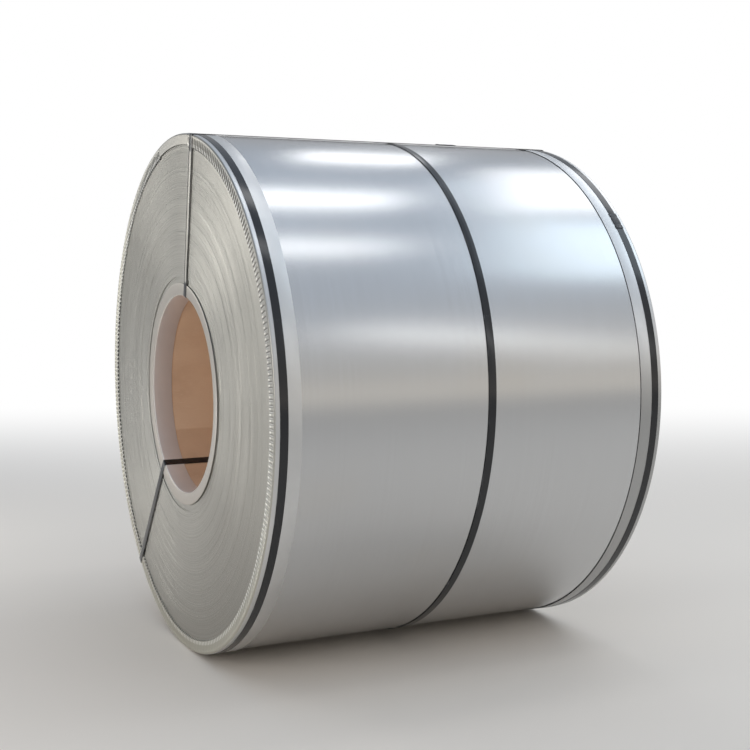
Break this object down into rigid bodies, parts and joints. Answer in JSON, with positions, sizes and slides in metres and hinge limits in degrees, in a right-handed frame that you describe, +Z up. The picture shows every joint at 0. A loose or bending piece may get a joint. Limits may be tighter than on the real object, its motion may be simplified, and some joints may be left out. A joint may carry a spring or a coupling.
{
  "type": "steel coil",
  "caption": "Coil of wide steel strip on its side, with fluted edge rings, a lined bore, steel bands round it and eye straps through the bore.",
  "frame": {"origin": "on the floor under the middle of the coil, at the bottom centre of its box", "axes": "+X along the coil's axis, away from the end that shows; +Y towards the back; +Z up"},
  "size_m": [1.0084, 1.3042, 1.3044],
  "materials": {
    "coil_steel": "bright cold-rolled strip, satin",
    "ring_galvanised": "galvanised sheet, dull",
    "strap_black": "black waxed steel strapping, glossy",
    "seal_black": "black crimped steel, semi-gloss",
    "liner_board": "brown board, matt"
  },
  "bodies": {
    "root": {"coil": "coil_steel", "bore_liner": "liner_board", "outer_ring_left": "ring_galvanised", "outer_ring_right": "ring_galvanised", "inner_ring_left": "ring_galvanised", "inner_ring_right": "ring_galvanised", "band_strap_left": "strap_black", "band_strap_middle": "strap_black", "band_strap_right": "strap_black", "eye_strap_upper": "strap_black", "eye_strap_lower": "strap_black", "seal_left": "seal_black", "seal_middle": "seal_black", "seal_right": "seal_black", "seal_eye_upper": "seal_black", "seal_eye_lower": "seal_black"}
  },
  "joints": []
}
